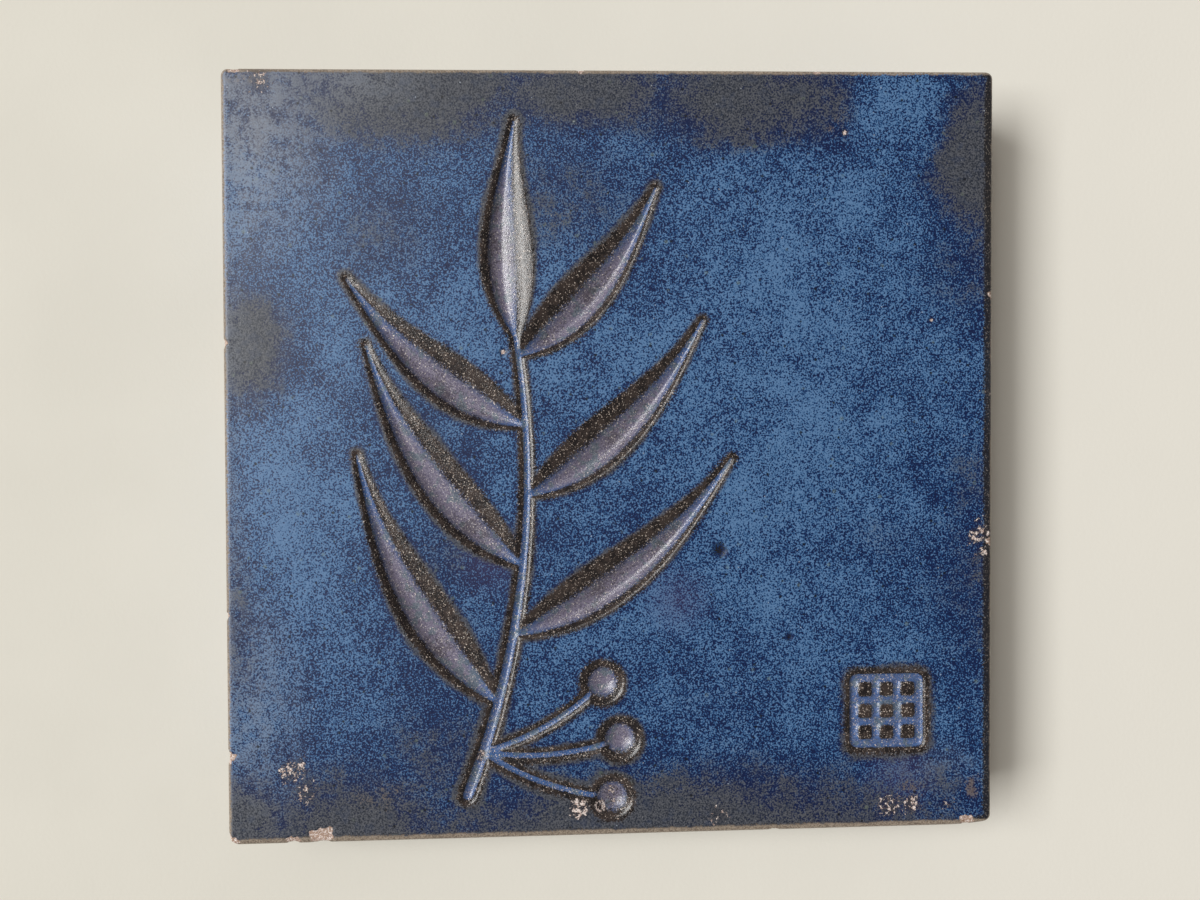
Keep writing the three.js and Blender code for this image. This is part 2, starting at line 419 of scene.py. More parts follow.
def stored(geometry, name, value, kind="FLOAT"):
    """The geometry with a value stored on its points."""
    return output(
        geometry.tree,
        "GeometryNodeStoreNamedAttribute",
        {"Geometry": geometry, "Name": name, "Value": value},
        data_type=kind,
        domain="POINT",
    )


def named(tree, name, kind="FLOAT"):
    return output(tree, "GeometryNodeInputNamedAttribute", {"Name": name}, data_type=kind)


def strips(tree, count, along, across):
    """Flat strips, x from 0 to 1 and y from -1 to 1, all in one place, each with its number."""
    points = output(tree, "GeometryNodePoints", {"Count": count})
    numbered = stored(points, "number", output(tree, "GeometryNodeInputIndex"), "INT")
    sizes = {"Size X": 1.0, "Size Y": 2.0, "Vertices X": along, "Vertices Y": across}
    strip = output(tree, "GeometryNodeMeshGrid", sizes)
    placed = output(
        tree, "GeometryNodeInstanceOnPoints", {"Points": numbered, "Instance": strip}
    )
    geometry = output(tree, "GeometryNodeRealizeInstances", {"Geometry": placed})
    number = named(tree, "number", "INT")
    x, y, _ = parts_of(output(tree, "GeometryNodeInputPosition"))
    return geometry, number, x + 0.5, y


def gouge_height(across, beyond, half_width, depth, lean=0.0):
    """Height over the face, and share of the depth, at a place across a gouge or past its end.

    The deepest line leans to one side. The wall there is round and the other one is straighter.
    Past the rim the height flares up.
    """
    side = across / half_width
    end = beyond / half_width
    outward = side * side + end * end
    leaning = side + (1.0 - outward) * lean
    is_gentle = is_less(leaning * lean * -1.0, -1e-6)
    from_deepest = smallest(leaning * leaning + end * end, 1.0)
    sunk = from_deepest ** blend(is_gentle, 1.0, GENTLE_WALL) - 1.0
    is_in = is_less(outward, 1.0)
    flare = (root(outward) - 1.0) * half_width * GOUGE_FLARE
    return blend(is_in, flare, sunk * depth), -sunk * is_in


def along_arc(foot, heading, bend, distance, across):
    """The place at a distance along an arc, and so far to the left of it."""
    tree = distance.tree
    angle = distance / bend
    ahead = (bend - across) * calculate(tree, "SINE", angle)
    aside = bend - (bend - across) * calculate(tree, "COSINE", angle)
    cosine = calculate(tree, "COSINE", heading)
    sine = calculate(tree, "SINE", heading)
    x = foot[0] + ahead * cosine - aside * sine
    y = foot[1] + ahead * sine + aside * cosine
    return x, y


def laid_out(geometry, x, y, height, share):
    """Stores how far down its gouge each place of a strip is, and moves it to that place."""
    tree = geometry.tree
    marked = stored(geometry, "depth_share", share)
    inputs = {"Geometry": marked, "Position": xyz(tree, x, y, height)}
    return output(tree, "GeometryNodeSetPosition", inputs)


def trough(strip, foot, heading, length, turn, half_width_at, depth_at, lean=0.0):
    """Lays strips out as troughs that follow arcs, with their rims flared onto the face."""
    geometry, _, share_x, share_y = strip
    tree = geometry.tree
    distance = share_x * (length + 2 * GOUGE_MARGIN) - GOUGE_MARGIN
    share = clamped(distance / length)
    beyond = distance - share * length
    half_width = half_width_at(share)
    side = abs(share_y)
    inner = smallest(side / RIM_SHARE, 1.0) * half_width
    outer = largest(side - RIM_SHARE, 0.0) * (GOUGE_MARGIN / (1 - RIM_SHARE))
    across = calculate(tree, "SIGN", share_y) * (inner + outer)
    x, y = along_arc(foot, heading, length / turn, distance, across)
    height, deep = gouge_height(across, beyond, half_width, depth_at(share), lean)
    return laid_out(geometry, x, y, height, deep)


def on_stem(size, distance):
    """The place at a distance up the stem, and the stem's heading there."""
    bend = size["Stem Length"] / size["Stem Turn"]
    foot = (size["Stem Foot X"], size["Stem Foot Y"])
    place = along_arc(foot, size["Stem Heading"], bend, distance, 0.0)
    return place, size["Stem Heading"] + distance / bend


def leaf_troughs(tree, size):
    """The leaves, left and right by turns up the stem, and the last one at its tip."""
    strip = strips(tree, size["Leaf Count"] + 1, LEAF_STEPS, STEPS_ACROSS)
    number = strip[1]
    is_end = is_less(size["Leaf Count"] - 0.5, number)
    side = 1.0 - 2.0 * calculate(tree, "MODULO", number, 2.0)
    up_stem = size["First Leaf From Foot"] + number * size["Leaf Pitch"]
    distance = blend(is_end, up_stem, size["Stem Length"])
    foot, upward = on_stem(size, distance)
    unlike = calculate(tree, "SINE", size["Leaf Pitch"] * number)
    uneven = size["Leaf Unevenness"] * unlike * (1.0 - is_end)
    splay = side * size["Leaf Splay"] * (1.0 - uneven) * (1.0 - is_end)
    heading = upward + splay
    curl = side * size["Leaf Curl"] * (1.0 + uneven * 2.0)
    turn = -blend(is_end, curl, size["End Leaf Curl"])
    lean = calculate(tree, "SIGN", turn) * size["Leaf Lean"]
    length = (size["Leaf Length"] - number * size["Leaf Shortening"]) * (1.0 + uneven)
    tail = size["Leaf Tail Width"]

    def width(share):
        swell = calculate(tree, "SINE", (share ** size["Leaf Fullness"]) * math.pi)
        return blend(largest(swell, 0.0) ** size["Leaf Taper"], tail, size["Leaf Width"])

    def depth(share):
        fullness = width(share) / size["Leaf Width"]
        return size["Leaf Depth"] * fullness ** size["Leaf Depth Taper"]

    return trough(strip, foot, heading, length, turn, lambda s: width(s) * 0.5, depth, lean)


def stem_trough(tree, size):
    foot = (size["Stem Foot X"], size["Stem Foot Y"])

    def width(share):
        return blend(share, size["Stem Foot Width"], size["Stem Tip Width"])

    return trough(
        strips(tree, 1, STEM_STEPS, STEPS_ACROSS),
        foot,
        size["Stem Heading"],
        size["Stem Length"],
        size["Stem Turn"],
        lambda share: width(share) * 0.5,
        lambda share: size["Stem Depth"] * width(share) / size["Stem Foot Width"],
    )


def berry_troughs(tree, size):
    """The berries' stalks, and a round dimple at the end of each."""
    foot, upward = on_stem(size, size["Stalk From Foot"])
    straight = upward - size["Stalk Splay"]
    stalk_bend = size["Stalk Length"] / size["Stalk Curl"]

    def heading(number):
        return straight - (number - (size["Berry Count"] - 1.0) * 0.5) * size["Stalk Spread"]

    strip = strips(tree, size["Berry Count"], STALK_STEPS, STEPS_ACROSS)
    stalks = trough(
        strip,
        foot,
        heading(strip[1]),
        size["Stalk Length"],
        size["Stalk Curl"],
        lambda share: size["Stalk Width"] * 0.5,
        lambda share: size["Stalk Depth"],
    )
    patch, number, share_x, share_y = strips(tree, size["Berry Count"], BERRY_STEPS, BERRY_STEPS)
    half_width = size["Berry Width"] * 0.5
    span = half_width + GOUGE_MARGIN
    x = (share_x * 2.0 - 1.0) * span
    y = share_y * span
    height, deep = gouge_height(x, y, half_width, size["Berry Depth"])
    centre = along_arc(foot, heading(number), stalk_bend, size["Stalk Length"], 0.0)
    return stalks, laid_out(patch, centre[0] + x, centre[1] + y, height, deep)


def stem_arc():
    """The stem's heading at its foot, its whole turn and its length."""
    chord = Vector(STEM_TIP) - Vector(STEM_FOOT)
    half_turn = 2 * math.atan(2 * STEM_BOW / chord.length)
    heading = math.atan2(chord.y, chord.x) - half_turn
    return heading, 2 * half_turn, chord.length * half_turn / math.sin(half_turn)


def sprig_gouges(material):
    """All the troughs of the sprig, as open surfaces over a face at z = 0."""
    heading, turn, length = stem_arc()
    path = {"Stem Heading": heading, "Stem Turn": turn, "Stem Length": length}
    sizes = {**STEM_SIZES, **path, **LEAF_SIZES, **BERRY_SIZES}
    tree, size = new_tree("sprig gouges", sizes)
    join = tree.nodes.new("GeometryNodeJoinGeometry")
    for piece in (stem_trough(tree, size), leaf_troughs(tree, size), *berry_troughs(tree, size)):
        tree.links.new(piece.socket, join.inputs[0])
    end_tree(tree, Value(tree, join.outputs[0]), material)
    return grow("sprig_gouges", bpy.data.meshes.new("nothing"), tree, sizes)


def rounded_box(x, y, half, radius):
    """Distance outside a square with round corners, less than 0 inside it."""
    past_x = abs(x) - (half - radius)
    past_y = abs(y) - (half - radius)
    outside_x = largest(past_x, 0.0)
    outside_y = largest(past_y, 0.0)
    corner = root(outside_x * outside_x + outside_y * outside_y)
    return corner + smallest(largest(past_x, past_y), 0.0) - radius


def stamp_height(tree, size, x, y):
    """Height over the face of the square impression with its grid of pads."""
    x = x - size["Stamp X"]
    y = y - size["Stamp Y"]
    wall = rounded_box(x, y, size["Stamp Side"] * 0.5, STAMP_CORNER_RADIUS)
    slope = blend(is_less(wall, 0.0), STAMP_FLARE, STAMP_WALL_SLOPE)
    recess = largest(wall * slope, -size["Stamp Depth"])
    pads = PADS_ACROSS
    clear = STAMP_SIDE - 2 * STAMP_BORDER - (pads - 1) * PAD_GAP
    pad_side = clear / pads
    pitch = pad_side + PAD_GAP
    last = (pads - 1) / 2

    def from_pad(place):
        nearest = calculate(tree, "ROUND", place / pitch)
        return place - smallest(largest(nearest, -last), last) * pitch

    edge = rounded_box(from_pad(x), from_pad(y), pad_side * 0.5, PAD_CORNER_RADIUS)
    pad = smallest(-size["Stamp Depth"] - edge * STAMP_WALL_SLOPE, -PAD_DROP)
    return largest(recess, pad)


def blurred(value):
    inputs = {"Value": value, "Iterations": 1}
    return output(value.tree, "GeometryNodeBlurAttribute", inputs, data_type="FLOAT")


def carve(slab_mesh, gouges, material):
    """Sinks the face of the slab into the gouges and the impression, softened as under glaze."""
    cutter = bpy.data.objects.new("gouges", gouges)
    bpy.context.scene.collection.objects.link(cutter)
    sizes = {
        "Gouges": cutter,
        "Rim Softness": RIM_SOFTNESS,
        "Face Hollows": FACE_HOLLOWS,
        "Stamp X": STAMP_CENTRE[0],
        "Stamp Y": STAMP_CENTRE[1],
        "Stamp Side": STAMP_SIDE,
        "Stamp Depth": STAMP_DEPTH,
    }
    tree, size = new_tree("carved face", sizes)
    target = output(tree, "GeometryNodeObjectInfo", {"Object": size["Gouges"]}, "Geometry")
    x, y, _ = parts_of(output(tree, "GeometryNodeInputPosition"))
    below = TILE_THICKNESS / 2
    hit = add_node(
        tree,
        "GeometryNodeRaycast",
        {
            "Target Geometry": target,
            "Attribute": named(tree, "depth_share"),
            "Source Position": xyz(tree, x, y, -below),
            "Ray Direction": (0.0, 0.0, 1.0),
            "Ray Length": 2 * below,
        },
    )
    reach = GOUGE_MARGIN * GOUGE_FLARE
    is_hit = Value(tree, hit.outputs["Is Hit"])
    hit_height = Value(tree, hit.outputs["Hit Distance"]) - below
    sprig = blend(is_hit, reach, hit_height)
    stamp = stamp_height(tree, size, x, y)
    height = smallest(smallest(sprig, stamp), reach)
    sprig_share = Value(tree, hit.outputs["Attribute"]) * is_hit
    stamp_share = clamped(-stamp / size["Stamp Depth"])
    share = blend(is_less(sprig, stamp), stamp_share, sprig_share)
    facts = stored(size["Geometry"], "relief", blurred(height))
    facts = stored(facts, "depth_share", blurred(share))
    sunk = calculate(tree, "SMOOTH_MIN", named(tree, "relief"), 0.0, size["Rim Softness"])
    hollows = noise(xyz(tree, x, y, 0.0), HOLLOWS_PER_MM, detail=2.0)
    drop = (sunk - hollows * size["Face Hollows"]) * named(tree, "on_face")
    inputs = {"Geometry": facts, "Offset": xyz(tree, 0.0, 0.0, drop)}
    carved = output(tree, "GeometryNodeSetPosition", inputs)
    end_tree(tree, carved, material)
    carved_mesh = grow("carved_slab", slab_mesh, tree, sizes)
    bpy.data.objects.remove(cutter)
    return carved_mesh


def noise(place, scale, detail=3.0, roughness=0.5, offset=0.0):
    """Noise from about 0 to 1 with scale in features per unit of length."""
    inputs = {"Vector": place, "W": offset, "Scale": scale, "Detail": detail}
    inputs["Roughness"] = roughness
    return output(place.tree, "ShaderNodeTexNoise", inputs, noise_dimensions="4D")


# The slab in mesh code


def grid_lines():
    """Where the face's cells meet along one side, closer together over the arris."""
    inner = HALF_SIDE - CORNER_RADIUS
    count = round(2 * inner / CELL)
    middle = [-inner + 2 * inner * i / count for i in range(1, count)]
    edge = [HALF_SIDE - inset for inset in ARRIS_INSETS]
    return [-place for place in edge] + middle + edge[::-1]


def on_plan(x, y):
    """Bends a square plan to one with round corners, and slightly out of square."""
    inner = HALF_SIDE - CORNER_RADIUS
    past_x = abs(x) - inner
    past_y = abs(y) - inner
    if past_x > 0 and past_y > 0:
        shrink = max(past_x, past_y) / math.hypot(past_x, past_y)
        x = math.copysign(inner + past_x * shrink, x)
        y = math.copysign(inner + past_y * shrink, y)
    lean = OUT_OF_SQUARE * (1 - x * y / HALF_SIDE**2) / 2
    past = max(0.0, 1 - math.hypot(HALF_SIDE - x, HALF_SIDE + y) / WORN_CORNER_REACH)
    y += WORN_CORNER * past**2
    return x * (1 - lean / HALF_SIDE), y * (1 - (lean + SHORT_IN_Y) / HALF_SIDE)


def inset_by(x, y, inset):
    """Moves a place on the square plan's round-cornered outline inwards."""
    inner = HALF_SIDE - CORNER_RADIUS
    past_x = abs(x) - inner
    past_y = abs(y) - inner
    if past_x > 0 and past_y > 0:
        scale = 1 - inset / max(past_x, past_y)
        x = math.copysign(inner + past_x * scale, x)
        y = math.copysign(inner + past_y * scale, y)
    elif past_x > past_y:
        x = math.copysign(abs(x) - inset, x)
    else:
        y = math.copysign(abs(y) - inset, y)
    return x, y


def arris_drop(inset):
    """How far the round arris lies under the face at a distance in from the side."""
    if inset >= ARRIS_RADIUS:
        return 0.0
    return ARRIS_RADIUS - math.sqrt(ARRIS_RADIUS**2 - (ARRIS_RADIUS - inset) ** 2)


def waves(x, y, seed):
    """A slow wander between 0 and 1 along the tile's outline."""
    a = math.sin(0.11 * x + 0.07 * y + seed) + math.sin(0.23 * y - 0.19 * x + 2.3 * seed)
    b = 0.5 * math.sin(0.61 * x + 0.57 * y + 4.1 * seed)
    return 0.5 + 0.2 * (a + b)


def is_fine_cell(cutter, flaws, x_low, x_high, y_low, y_high):
    """True where a cell of the face lies under the carving, the impression or a flaw."""
    x = (x_low + x_high) / 2
    y = (y_low + y_high) / 2
    for at_x, at_y in ((x, y), (x_low, y_low), (x_high, y_low), (x_low, y_high), (x_high, y_high)):
        if cutter.ray_cast(Vector((at_x, at_y, -TILE_THICKNESS)), Vector((0, 0, 1)))[0] is not None:
            return True
    stamp = STAMP_SIDE / 2 + STAMP_MARGIN
    if abs(x - STAMP_CENTRE[0]) < stamp and abs(y - STAMP_CENTRE[1]) < stamp:
        return True
    return any(math.hypot(x - at_x, y - at_y) < reach + CELL / 2 for at_x, at_y, reach in flaws)


def fine_cells(lines, gouges):
    """Whether each cell between the lines is to be finer, by its numbers along x and y."""
    corners = [vertex.co for vertex in gouges.vertices]
    cutter = BVHTree.FromPolygons(corners, [tuple(face.vertices) for face in gouges.polygons])
    chips = [(x, y, radius) for x, y, _, radius, _ in CHIPS]
    pits = [(x, y, radius + PIT_MARGIN) for x, y, radius, _ in DARK_PITS + PALE_PITS]
    flaws = chips + pits
    spans = list(zip(lines, lines[1:]))
    return [[is_fine_cell(cutter, flaws, *along, *across) for across in spans] for along in spans]


def face_cells(lines, is_fine):
    """The face's corners on the square plan, its cells and the ring of corners around it.

    A fine cell is split into smaller ones, and a plain cell takes in the corners of a fine
    one beside it, so that no seam is open.
    """
    stops = []
    for start, end in zip(lines, lines[1:]):
        stops += [start + (end - start) * k / CELL_SPLIT for k in range(CELL_SPLIT)]
    stops.append(lines[-1])
    cells = len(is_fine)
    plan = []
    numbers = {}

    def corner(i, j):
        if (i, j) not in numbers:
            numbers[i, j] = len(plan)
            plan.append((stops[i], stops[j]))
        return numbers[i, j]

    def is_split(i, j):
        return 0 <= i < cells and 0 <= j < cells and is_fine[i][j]

    def edge(start, step, split):
        """Corners from start up to, not with, the next corner, finer where a cell is split."""
        ways = range(0, CELL_SPLIT, 1 if split else CELL_SPLIT)
        return [corner(start[0] + step[0] * k, start[1] + step[1] * k) for k in ways]

    def small_cell(i, j):
        return [corner(i, j), corner(i + 1, j), corner(i + 1, j + 1), corner(i, j + 1)]

    def plain_cell(i, j):
        left, low = i * CELL_SPLIT, j * CELL_SPLIT
        right, high = left + CELL_SPLIT, low + CELL_SPLIT
        return (
            edge((left, low), (1, 0), is_split(i, j - 1))
            + edge((right, low), (0, 1), is_split(i + 1, j))
            + edge((right, high), (-1, 0), is_split(i, j + 1))
            + edge((left, high), (0, -1), is_split(i - 1, j))
        )

    faces = []
    for i in range(cells):
        for j in range(cells):
            if is_fine[i][j]:
                for a in range(i * CELL_SPLIT, (i + 1) * CELL_SPLIT):
                    for b in range(j * CELL_SPLIT, (j + 1) * CELL_SPLIT):
                        faces.append(small_cell(a, b))
            else:
                faces.append(plain_cell(i, j))
    last = cells * CELL_SPLIT
    around = [(k, 0) for k in range(last)] + [(last, k) for k in range(last)]
    around += [(k, last) for k in range(last, 0, -1)] + [(0, k) for k in range(last, 0, -1)]
    return plan, faces, [numbers[place] for place in around if place in numbers]


def on_side(x, y, foot_inset, height):
    """The place on the sides below one of the plan's outline, and its height over the glaze's end.

    A foot inset is given only where the foot is rounded under.
    """
    over = height - GLAZE_LINE - GLAZE_LINE_WANDER * (waves(x, y, 1.7) - 0.5) * 2
    bare = 1 / (1 + math.exp(over / GLAZE_END))
    depth = SIDE_WAVES * waves(x + height, y - height, 0.4) + GLAZE_THICKNESS * bare
    if foot_inset is None:
        inset = depth * min(1.0, (TILE_THICKNESS - ARRIS_RADIUS - height) / SETTLING)
    else:
        inset = foot_inset + depth * max(0.0, 1 - foot_inset / ARRIS_RADIUS)
    return (*on_plan(*inset_by(x, y, inset)), height), over


def slab(gouges):
    """The plain slab: a face that is finer under the carving, rounded arrises, sides and bed."""
    lines = grid_lines()
    plan, faces, rim = face_cells(lines, fine_cells(lines, gouges))
    edge = [HALF_SIDE - max(abs(x), abs(y)) for x, y in plan]
    on_face = [min(1.0, inset / SETTLING) for inset in edge]
    over_line = [TILE_THICKNESS] * len(plan)
    places = [
        (*on_plan(x, y), TILE_THICKNESS - arris_drop(inset)) for (x, y), inset in zip(plan, edge)
    ]
    loop = rim
    for foot_inset, height in [(None, level) for level in SIDE_LEVELS] + list(FOOT_ROUNDING):
        below = []
        for number in rim:
            place, over = on_side(*plan[number], foot_inset, height)
            below.append(len(places))
            places.append(place)
            edge.append(height - (TILE_THICKNESS - ARRIS_RADIUS))
            on_face.append(0.0)
            over_line.append(over)
        for k, number in enumerate(loop):
            following = (k + 1) % len(loop)
            faces.append([number, below[k], below[following], loop[following]])
        loop = below
    faces.append(loop[::-1])
    mesh = bpy.data.meshes.new("slab")
    mesh.from_pydata(places, [], faces)
    store(mesh, "on_face", on_face)
    store(mesh, "edge", edge)
    store(mesh, "over_glaze_line", over_line)
    return mesh


# What the glaze reads from the mesh


def store(mesh, name, values):
    mesh.attributes.new(name, "FLOAT", "POINT").data.foreach_set("value", values)


def vectors(items, name):
    """An array with one vector of each item of a mesh."""
    found = np.empty(len(items) * 3)
    items.foreach_get(name, found)
    return found.reshape(-1, 3)


def nearness(x, y, reach, bumps=0.0):
    """1 at a place and 0 from a reach away, with a wavy outline where asked for."""
    angle = np.arctan2(y, x)
    wavy = 1 + bumps * (np.sin(5 * angle + reach) + 0.6 * np.sin(8 * angle + 1.3))
    return np.clip(1 - np.hypot(x, y) / (reach * wavy), 0, 1)


def near_patches(x, y, patches):
    """How near each place is to an oval patch, for each patch, with the patch's strength."""
    for at_x, at_y, reach_x, reach_y, strength in patches:
        yield nearness((x - at_x) / reach_x, (y - at_y) / reach_y, PATCH_SPREAD), strength


def strongest(x, y, patches):
    """The strength of the strongest patch at each place."""
    shown = np.zeros(len(x))
    for near, strength in near_patches(x, y, patches):
        shown = np.maximum(shown, strength * np.minimum(PATCH_SPREAD * near, 1))
    return shown


def add_glaze_facts(mesh):
    """Stores where the glaze is thin, thick, milky with a painted hazy reflection, stained or
    violet or has crawled.
    """
    x, y, _ = vectors(mesh.vertices, "co").T
    thin = strongest(x, y, THIN_PLACES)
    thick = np.zeros(len(x))
    for near, strength in near_patches(x, y, THICK_PLACES):
        thin *= 1 - strength * np.minimum(THICK_RISE * near, 1)
        thick = np.maximum(thick, near)
    crawled = np.zeros(len(x))
    for at_x, at_y, reach, strength in CRAWLED_PLACES:
        near = nearness(x - at_x, y - at_y, CRAWLED_SPREAD * reach)
        crawled = np.maximum(crawled, strength * np.minimum(CRAWLED_RISE * near, 1))
    violet = np.zeros(len(x))
    for at_x, at_y, reach in VIOLET_PLACES:
        violet = np.maximum(violet, nearness(x - at_x, y - at_y, reach))
    store(mesh, "thin_glaze", thin)
    store(mesh, "thick_glaze", thick)
    store(mesh, "milky_glaze_and_haze", strongest(x, y, MILKY_AND_HAZE_PLACES))
    store(mesh, "stained_glaze", strongest(x, y, STAINED_PLACES))
    store(mesh, "crawled_glaze", crawled)
    store(mesh, "violet_glaze", violet)


def add_arris_facts(mesh):
    """Stores how far inside the worn strip and the dark line of its side each place lies."""
    x, y, _ = vectors(mesh.vertices, "co").T
    away = np.stack((x + HALF_SIDE, HALF_SIDE - x, y + HALF_SIDE, HALF_SIDE - y))
    near = np.exp(-away / SIDE_BLEND)
    near /= near.sum(axis=0)
    edge = np.empty(len(x))
    mesh.attributes["edge"].data.foreach_get("value", edge)
    strip = np.array(TAN_STRIPS) @ near
    line = strip + np.array(DARK_LINES_AND_SHADE) @ near
    store(mesh, "past_tan_strip", edge - strip)
    store(mesh, "past_dark_line_and_shade", edge - line)


def knock_chips(mesh):
    """Sinks each chip into the arris and stores how bare the clay is there."""
    places = vectors(mesh.vertices, "co")
    normals = vectors(mesh.vertex_normals, "vector")
    bare = np.zeros(len(places))
    for x, y, z, radius, depth in CHIPS:
        offset = places - np.array((x, y, z))
        angle = np.arctan2(offset[:, 1], offset[:, 0])
        ragged = radius * (1 + 0.18 * np.sin(3 * angle + x) + 0.12 * np.sin(7 * angle + y))
        share = np.clip(1 - (np.linalg.norm(offset, axis=1) / ragged) ** 2, 0, 1)
        bare = np.maximum(bare, share)
        places = places - normals * (depth * np.sqrt(share))[:, None]
    mesh.vertices.foreach_set("co", places.ravel())
    store(mesh, "bare_clay", bare)


def pit_face(mesh):
    """Sinks the small flaws into the face and stores where they are."""
    places = vectors(mesh.vertices, "co")
    x, y, z = places.T
    is_up = z > TILE_THICKNESS / 2
    for name, pits in (("dark_pit", DARK_PITS), ("pale_pit", PALE_PITS)):
        shown = np.zeros(len(x))
        for at_x, at_y, radius, depth in pits:
            near = nearness(x - at_x, y - at_y, PIT_SPREAD * radius, bumps=0.1) * is_up
            z -= depth * np.minimum(PIT_RISE * near, 1)
            shown = np.maximum(shown, near)
        store(mesh, name, shown)
    mesh.vertices.foreach_set("co", places.ravel())


# Materials


def new_material(name):
    material = bpy.data.materials.new(name)
    material.use_nodes = True
    tree = material.node_tree
    tree.nodes.clear()
    shader = tree.nodes.new("ShaderNodeBsdfPrincipled")
    surface = tree.nodes.new("ShaderNodeOutputMaterial")
    tree.links.new(shader.outputs["BSDF"], surface.inputs["Surface"])
    place = output(tree, "ShaderNodeTexCoord", result="Object")
    in_mm = output(
        tree,
        "ShaderNodeVectorMath",
        {0: place, 1: (1 / MM, 1 / MM, 1 / MM)},
        operation="MULTIPLY",
    )
    return material, tree, shader, in_mm


def fact(tree, name):
    """What a mesh has stored under a name."""
    return output(tree, "ShaderNodeAttribute", result="Fac", attribute_name=name)


def mix(share, first, second):
    inputs = {0: share, 6: first, 7: second}
    return output(share.tree, "ShaderNodeMix", inputs, 2, data_type="RGBA")


def colours_along(value, stops):
    """The colour at a value, between stops of (value, colour)."""
    node = add_node(value.tree, "ShaderNodeValToRGB", {"Fac": value})
    marks = node.color_ramp.elements
    while len(marks) < len(stops):
        marks.new(0.5)
    for mark, (place, shade) in zip(marks, stops):
        mark.position = place
        mark.color = shade
    return Value(value.tree, node.outputs["Color"])


def colour(red, green, blue):
    """A colour given as it looks on a screen, 0 to 255."""

    def linear(level):
        share = level / 255
        return share / 12.92 if share <= 0.04045 else ((share + 0.055) / 1.055) ** 2.4

    return (linear(red), linear(green), linear(blue), 1.0)


# From deep navy, where the glaze is thinner or darker in the grain, to clear blue
BLUES = (
    (0.0, colour(0, 24, 70)),
    (0.25, colour(0, 30, 82)),
    (0.41, colour(0, 44, 100)),
    (0.52, colour(4, 66, 122)),
    (0.61, colour(38, 88, 138)),
    (0.78, colour(62, 106, 152)),
    (1.0, colour(92, 130, 174)),
)
VIOLET = colour(70, 58, 96)
# Pale milky glaze, which also stands for a painted hazy reflection of the windows
MILKY_AND_HAZE = colour(130, 137, 150)
DARK_SLATE = colour(34, 41, 54)
LIGHT_SLATE = colour(89, 92, 100)
BLUE_SLATE = colour(40, 56, 86)
# Painted glints on the slate
SLATE_PAINTED_GLINT = colour(150, 150, 156)
GREENISH_SPOT = colour(120, 134, 112)
INK_SPOT = colour(4, 8, 18)
# Painted glints: tiny pale points on the blue field
PALE_PAINTED_GLINT = colour(190, 200, 214)

BURNT = colour(34, 30, 31)
BURNT_BROWN = colour(64, 55, 52)
# Painted glints: tan and pale flecks that stand for light sparkling on the rims
TAN_PAINTED_GLINT = colour(146, 130, 120)
RIM_PAINTED_GLINT = colour(222, 210, 198)

POOLED_BLUE = colour(72, 106, 160)
POOLED_LILAC = colour(126, 120, 140)
POOLED_GREEN = colour(100, 118, 126)
POOLED_SHADE = colour(56, 56, 78)
POOLED_POINT = colour(172, 168, 178)
SCORCHED = colour(80, 72, 70)
# Painted highlight: pale flecks that stand for the windows' sparkle on the floors
FLOOR_PAINTED_GLINT = colour(226, 216, 212)

# Painted shade: the dark line on the arrises that face away from the windows
ARRIS_LINE_AND_SHADE = colour(24, 23, 26)
ARRIS_POINT = colour(150, 140, 130)
DARK_TAN = colour(120, 107, 94)
LIGHT_TAN = colour(178, 163, 146)

STAIN = colour(116, 102, 94)
CRAWLED_EDGE = colour(48, 43, 48)
CRUMB = colour(252, 240, 234)
DARK_CRUMB = colour(172, 146, 136)
PIT = colour(8, 12, 20)
PIT_EDGE = colour(40, 36, 40)

CLAY = colour(188, 158, 138)
DARK_CLAY = colour(164, 136, 116)
CLAY_GRIT = colour(104, 78, 62)
TOASTED_CLAY = colour(70, 48, 38)

BOARD = colour(231, 228, 217)
BOARD_CLOUD = colour(236, 233, 222)
# Painted light: the board's colour towards its right side, as if more light fell there
BOARD_LIT = colour(250, 247, 238)


def glaze_patterns(place):
    """The mottling that all the glaze's finishes share, from fine grain to slow drifts."""
    return SimpleNamespace(
        fine=noise(place, 4.2, detail=1.0, offset=3.0),
        grain=noise(place, 3.0, detail=2.0, roughness=0.6),
        blotch=noise(place, 0.5, roughness=0.6, offset=7.0),
        cloud=noise(place, 0.11, detail=4.0, roughness=0.65, offset=11.0),
        drift=noise(place, 0.03, detail=2.0, offset=17.0),
    )


def mottle(patterns, **amounts):
    """Patterns added up around nil, each in its amount."""
    terms = [(getattr(patterns, name) - 0.5) * amount for name, amount in amounts.items()]
    return sum(terms[1:], terms[0])


def spots(place, spacing, radius, seed):
    """Round spots of up to a radius, strewn in space so that few of them touch the surface."""
    shift = {0: place, 1: (seed, seed, seed)}
    moved = output(place.tree, "ShaderNodeVectorMath", shift, operation="ADD")
    inputs = {"Vector": moved, "Scale": 1 / spacing}
    away = output(place.tree, "ShaderNodeTexVoronoi", inputs) * spacing
    return 1.0 - ramp(away, radius * 0.6, radius)


def frayed(value, fray, start, end):
    """Where a stored value passes a threshold, frayed, and nowhere that the value is nil."""
    return ramp(value + fray, start, end) * ramp(value, 0.02, 0.2)


def slate(patterns):
    """Glaze that has broken to slate: dark and light grains, bluish in places, with painted glints.
    """
    grains = mix(ramp(patterns.grain, 0.38, 0.62), DARK_SLATE, LIGHT_SLATE)
    bluish = mix(ramp(patterns.blotch, 0.5, 0.66) * 0.35, grains, BLUE_SLATE)
    return mix(ramp(patterns.fine, 0.66, 0.74) * 0.5, bluish, SLATE_PAINTED_GLINT)


